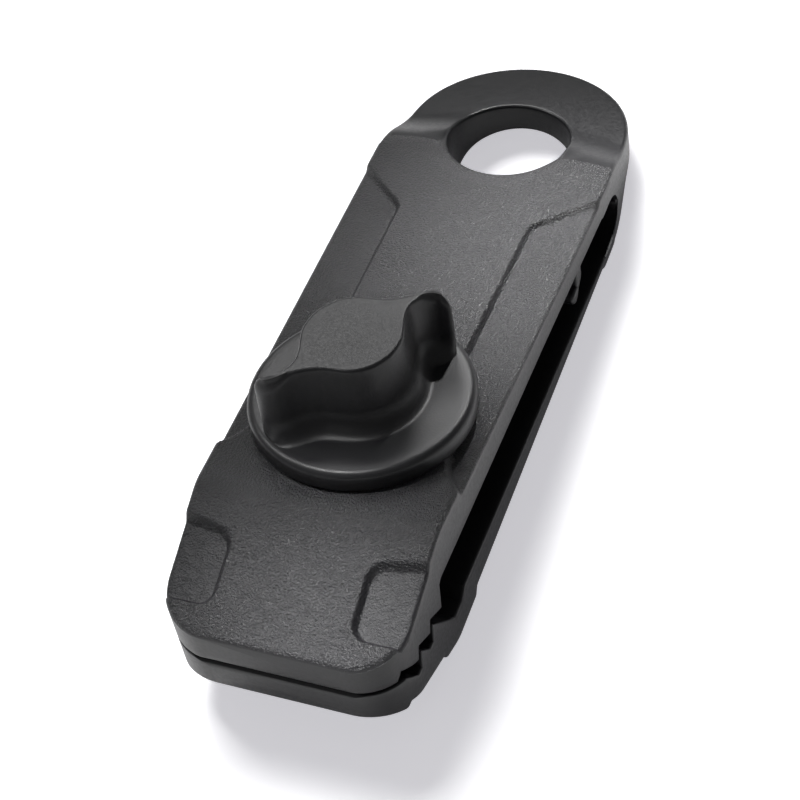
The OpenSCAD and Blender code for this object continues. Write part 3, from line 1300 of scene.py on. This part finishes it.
    def foot_points(self, top: Sequence[Vector]) -> list[Vector]:
        """Edge of the cove on the flange, smoother and wider than the grip's top edge.

        Args:
            top: Points of the grip's top edge.

        Returns:
            The points of the cove's edge.
        """
        wide = []
        for p in smooth_loop(offset(top, self.cove_w), self.cove_rounds):
            wide.append(p.normalized() * min(p.length, self.flange_r - self.foot_gap))
        return smooth_loop(wide, self.foot_rounds)

    def rim_angles(self, foot: Sequence[Vector]) -> list[float]:
        """Angles of the rim's points, following the foot's points without turning back.

        Args:
            foot: Points of the cove's edge.

        Returns:
            One angle for each point.
        """
        angles = [math.atan2(p.y, p.x) for p in foot]
        whole = [angles[0]]
        for a in angles[1:]:
            while a < whole[-1] - math.pi:
                a += 2 * math.pi
            while a > whole[-1] + math.pi:
                a -= 2 * math.pi
            whole.append(a)
        count = len(whole)
        for _ in range(self.rim_rounds):
            whole = [
                (whole[i - 1] - (2 * math.pi if i == 0 else 0) + 2 * whole[i]
                 + whole[(i + 1) % count] + (2 * math.pi if i == count - 1 else 0)) / 4
                for i in range(count)
            ]
        return whole


def resample(points: Sequence[Vector], count: int) -> list[Vector]:
    """Evenly spaced points along a closed line.

    Args:
        points: Points of the closed line.
        count: How many to return.

    Returns:
        The new points.
    """
    total = len(points)
    lengths = [(points[(i + 1) % total] - points[i]).length for i in range(total)]
    whole = sum(lengths)
    out: list[Vector] = []
    at, i = 0.0, 0
    for k in range(count):
        goal = whole * k / count
        while at + lengths[i] < goal:
            at += lengths[i]
            i += 1
        out.append(points[i].lerp(points[(i + 1) % total], (goal - at) / lengths[i]))
    return out


def normals(points: Sequence[Vector]) -> list[Vector]:
    """Outward directions of a closed line that runs anticlockwise.

    Args:
        points: Points of the closed line.

    Returns:
        One direction for each point.
    """
    count = len(points)
    out = []
    for i in range(count):
        line = points[(i + 1) % count] - points[i - 1]
        out.append(Vector((line.y, -line.x)).normalized())
    return out


def offset(points: Sequence[Vector], distance: float) -> list[Vector]:
    """Closed line moved outwards by a distance."""
    return [p + n * distance for p, n in zip(points, normals(points))]


def inset(
    points: Sequence[Vector],
    middle: Sequence[Vector],
    distances: Sequence[float],
    limit: float = 0.7,
) -> list[Vector]:
    """Closed line moved towards its middle line.

    Args:
        points: The line.
        middle: Matching points of its middle line.
        distances: How far each point moves.
        limit: Largest share of the way to the middle that a point moves.

    Returns:
        The moved points.
    """
    out = []
    for p, m, distance in zip(points, middle, distances):
        gap = (m - p).length
        out.append(p.lerp(m, min(distance / gap, limit)) if gap > 0 else p.copy())
    return out


def smooth_loop(points: Sequence[Vector], rounds: int) -> list[Vector]:
    """Closed line with each point drawn towards its neighbours.

    Args:
        points: Points of the closed line.
        rounds: How often it is smoothed.

    Returns:
        The smoothed points.
    """
    line = list(points)
    count = len(line)
    for _ in range(rounds):
        line = [(line[i - 1] + line[i] * 2 + line[(i + 1) % count]) / 4 for i in range(count)]
    return line


def blend_points(a: Sequence[Vector], b: Sequence[Vector], share: float) -> list[Vector]:
    """Closed line a given share of the way from one line to another."""
    return [p.lerp(q, share) for p, q in zip(a, b)]


@dataclass
class ClampScrew:
    """Threaded screw moulded into the knob."""

    frame: KnobFrame
    radius: float = 3.0
    pitch: float = 1.0
    depth: float = 0.55
    low: float = -20.4
    high: float = 0.9
    chamfer: float = 0.8
    sides: int = 36
    rows_a_turn: int = 8

    def mesh(self) -> bmesh.types.BMesh:
        """Builds the screw as a helical thread with a chamfered end."""
        rings: list[Ring] = [[(0.0, 0.0, self.low)] * self.sides]
        for height in steps(self.low, self.high, self.pitch / self.rows_a_turn) + [self.high]:
            ring: Ring = []
            for i in range(self.sides):
                phase = (height / self.pitch - i / self.sides) % 1.0
                cut = self.depth * abs(2 * phase - 1)
                limit = self.radius - max(0.0, self.chamfer - (height - self.low))
                radius = min(self.radius - cut, limit)
                a = 2 * math.pi * i / self.sides
                ring.append((radius * math.cos(a), radius * math.sin(a), height))
            rings.append(ring)
        return self.frame.stand(loft(rings))


# ---------------------------------------------------------------- studio


@dataclass(frozen=True)
class Lamp:
    """Soft square lamp, or a narrow round spot where it has a cone."""

    name: str
    place: Point
    size: float
    power: float
    aim: Point = (0, -45, 0)
    cone: float = 0.0
    lights: Lights = Lights.ALL

    def build(self) -> None:
        """Adds the lamp, of the given power in watts, and points it at its aim."""
        data = bpy.data.lights.new(self.name, "SPOT" if self.cone else "AREA")
        data.energy = self.power
        if self.cone:
            data.shadow_soft_size = self.size * MM
            data.spot_size = math.radians(self.cone)
            data.spot_blend = 1.0
        else:
            data.size = self.size * MM
        lamp = linked(self.name, data)
        way = Vector(self.aim) - Vector(self.place)
        lamp.location = Vector(self.place) * MM
        lamp.rotation_euler = way.to_track_quat("-Z", "Y").to_euler()
        if self.lights is not Lights.ALL:
            lamp.light_linking.receiver_collection = self.receivers()

    def receivers(self) -> bpy.types.Collection:
        """Collection that leaves the floor out of the lamp's light, or lights it alone."""
        name = f"floor_{self.lights.value.lower()}d"
        group = bpy.data.collections.get(name)
        if group is None:
            group = bpy.data.collections.new(name)
            group.objects.link(bpy.data.objects["floor"])
            group.collection_objects[0].light_linking.link_state = self.lights.value
        return group


LAMPS = (
    Lamp("back", (-400, 720, 950), 420, 4.6),
    Lamp("left", (-350, -50, 400), 160, 0.75, lights=Lights.CLIP),
    Lamp("front", (-100, -420, 300), 240, 0.06),
    Lamp("floor_key", (-330, 240, 860), 330, 8.4, lights=Lights.FLOOR),
    Lamp("panel_accent", (18, 330, 500), 14, 42.0, (15, -22, 8), 6.6, Lights.CLIP),
    Lamp("jaw_accent", (-150, -80, 650), 12, 46.0, (6, -92, 7), 4.0, Lights.CLIP),
)


@dataclass
class Studio:
    """Pale floor under the clip, soft light and the photographer's camera."""

    outline: Outline
    place: Point = (94.156, -221.189, 225.805)
    turn: Point = (40.5425, 7.5004, 19.9642)
    lens: float = 99.0
    sensor: float = 36.0
    clip_start: float = 10.0
    floor_half: float = 3000.0
    floor_gap: float = 0.06
    floor_colour: Point = (0.9, 0.9, 0.9)
    glow_colour: Point = (0.955, 0.945, 1.0)
    floor_mirror: float = 0.15
    floor_camera: float = 0.54
    room_light: float = 0.1
    room_mirror: float = 0.05
    room_camera: float = 0.9

    def camera(self) -> None:
        """Sets the camera at the photograph's viewing angle."""
        data = bpy.data.cameras.new("camera")
        data.lens = self.lens
        data.sensor_width = self.sensor
        data.clip_start = self.clip_start * MM
        camera = linked("camera", data)
        camera.location = Vector(self.place) * MM
        camera.rotation_euler = [math.radians(a) for a in self.turn]
        bpy.context.scene.camera = camera

    def floor(self) -> None:
        """Lays a wide pale floor along the lower panel, which the clip rests on."""
        bm = bmesh.new()
        bmesh.ops.create_grid(bm, x_segments=1, y_segments=1, size=self.floor_half * MM)
        lean = Matrix.Rotation(math.atan(self.outline.panel_slope), 4, "X")
        drop = Matrix.Translation((0, 0, -(self.outline.panel_half + self.floor_gap) * MM))
        bmesh.ops.transform(bm, matrix=drop @ lean, verts=bm.verts)
        floor = linked("floor", free_mesh("floor", bm))
        floor.data.materials.append(self.floor_material())

    def floor_material(self) -> bpy.types.Material:
        """Pale floor that shows white to the camera but keeps the clip's shadow."""
        mat = bpy.data.materials.new("floor_white")
        mat.use_nodes = True
        tree = mat.node_tree
        tree.nodes.remove(tree.nodes["Principled BSDF"])
        diffuse = add_node(tree, "BsdfDiffuse", Color=(*self.floor_colour, 1))
        strength = backdrop_strength(tree, 0.0, self.floor_mirror, self.floor_camera)
        glow = add_node(tree, "Emission", Color=(*self.glow_colour, 1), Strength=strength)
        both = add_node(tree, "AddShader")
        for socket, part in zip(both.inputs, (diffuse, glow)):
            fill(tree, socket, part.outputs[0])
        wire(tree, tree.nodes["Material Output"], Surface=both.outputs[0])
        return mat

    def world(self) -> None:
        """Lights the scene with an even pale room that shows white behind the clip."""
        world = bpy.data.worlds.new("room")
        world.use_nodes = True
        bpy.context.scene.world = world
        tree = world.node_tree
        strength = backdrop_strength(tree, self.room_light, self.room_mirror, self.room_camera)
        wire(tree, tree.nodes["Background"], Color=(1, 1, 1, 1), Strength=strength)

    def build(self) -> None:
        """Sets up camera, floor, room and lamps."""
        bpy.context.scene.view_settings.view_transform = "Standard"
        self.camera()
        self.floor()
        self.world()
        for lamp in LAMPS:
            lamp.build()
        log.info("studio: floor, room and %d lamps", len(LAMPS))


# ---------------------------------------------------------------- the clip


@dataclass
class TarpClip:
    """The whole clip: moulding, knob, screw and the CAD's nut and washer."""

    outline: Outline
    lower_lip_r: float = 0.8
    hole_r: float = 3.7
    hole_shift: float = 1.1
    hole_span: tuple[float, float] = (-12.0, 3.0)
    hole_sides: int = 48
    nut_across: float = 10.0
    nut_gap: float = 0.02
    nut_top: float = -13.5
    pocket_depth: float = 20.0
    boss_profile: Sequence[tuple[float, float]] = (
        (3.1, -13.5), (3.1, -12.9), (3.4, -12.5), (7.5, -12.5), (7.85, -12.65), (8.0, -13.0),
        (8.0, -17.0),
    )
    boss_sides: int = 64
    upper_slot: Sequence[tuple[float, float]] = (
        (11.6, 2.7), (38.0, 3.6), (74.7, 4.15), (77.8, 4.2), (78.55, 3.6), (79.15, -0.35),
        (82.6, 1.75), (83.2, -0.35), (86.65, 1.75), (87.25, -0.35), (90.7, 1.75), (91.3, 0.25),
        (94.4, 0.25),
    )
    """Side outline of the upper arm's inner face, with its teeth."""
    lower_slot: Sequence[tuple[float, float]] = (
        (11.6, 5.0), (72.0, 5.0), (73.5, 6.5), (76.15, 6.5), (77.65, 5.0), (82.15, -0.25),
        (82.75, 2.5), (83.95, 2.5), (86.2, -0.25), (86.8, 2.5), (88.0, 2.5), (90.25, 0.25),
        (94.4, 0.25),
    )
    """Side outline of the lower arm's inner face, turned over, with its teeth."""

    @property
    def knob_frame(self) -> KnobFrame:
        """The axes that the knob, the screw and the nut share."""
        return KnobFrame(self.outline)

    def finishes(self) -> list[bpy.types.Material]:
        """Materials of the moulding's regions, in the order of Region."""
        return [GRAIN.material(), SATIN.material(), PAD.material(), INSIDE.material()]

    def hole_cutter(self) -> bmesh.types.BMesh:
        """Slotted hole for the screw in the upper arm."""
        shift = self.hole_shift
        ring = circle(self.hole_r, self.hole_sides, 0.0)
        slot = [(x, y + (shift if y > 0 else -shift)) for x, y, _ in ring]
        bm = loft([[(x, y, z) for x, y in slot] for z in self.hole_span])
        return self.knob_frame.stand(bm)

    def nut_cutter(self) -> bmesh.types.BMesh:
        """Hexagonal pocket for the nut, open at the lower face."""
        turn = math.radians(30)
        radius = (self.nut_across / 2 / math.cos(turn) + self.nut_gap) * MM
        depth = self.pocket_depth * MM
        bm = bmesh.new()
        bmesh.ops.create_cone(
            bm, cap_ends=True, segments=6, radius1=radius, radius2=radius, depth=depth
        )
        bmesh.ops.rotate(bm, matrix=Matrix.Rotation(turn, 3, "Z"), verts=bm.verts)
        bmesh.ops.translate(bm, vec=(0, 0, self.nut_top * MM - depth / 2), verts=bm.verts)
        return self.knob_frame.stand(bm)

    def boss(self) -> bmesh.types.BMesh:
        """Round boss over the nut, inside the slot."""
        bm = loft([circle(radius, self.boss_sides, z) for radius, z in self.boss_profile])
        return self.knob_frame.stand(bm)

    def build(self, frame: dict) -> None:
        """Builds and places every piece.
        """
        finishes = self.finishes()
        upper = ArmSkin(self.outline, self.upper_slot, Face.UPPER).mesh()
        mark_regions(upper, self.outline)
        tongue = SpringTongue().mesh()
        for face in tongue.faces:
            face.material_index = Region.SATIN.value
        merge(upper, tongue)
        arm = piece("upper_arm_moulding", upper, finishes)
        carve(arm, self.hole_cutter())
        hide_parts("upper_arm")
        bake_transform(arm)
        log.info("upper arm: %d faces", len(arm.data.polygons))

        lip = self.lower_lip_r
        lower = ArmSkin(self.outline, self.lower_slot, Face.LOWER, lip_edge_r=lip).mesh()
        merge(lower, RingSkin(self.outline).mesh())
        mark_regions(lower, self.outline)
        base = piece("eye_and_lower_arm_moulding", lower, finishes)
        carve(base, self.nut_cutter())
        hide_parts("eye_and_lower_arm")
        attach(base, "base")
        log.info("ring and lower arm: %d faces", len(base.data.polygons))

        boss = piece("nut_boss", self.boss(), [finishes[Region.INSIDE.value]])
        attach(boss, "base")

        knob = piece("knob_grip", ClampKnob(self.knob_frame).mesh(), [KNOB.material()])
        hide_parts("clamp_knob")
        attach(knob, "knob")
        log.info("knob: %d faces", len(knob.data.polygons))

        steel = STEEL.material()
        screw = piece("screw_thread", ClampScrew(self.knob_frame).mesh(), [steel])
        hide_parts("clamp_screw")
        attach(screw, "knob")
        for name in ("captive_nut", "thrust_washer"):
            node = frame["nodes"][name]
            node.data.materials.clear()
            node.data.materials.append(steel)
        log.info("screw, nut and washer dressed")


def main() -> None:
    """Builds the studio and the clip."""
    logging.basicConfig(level=logging.INFO)
    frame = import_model()
    outline = Outline()
    Studio(outline).build()
    TarpClip(outline).build(frame)


if __name__ == "__main__":
    main()
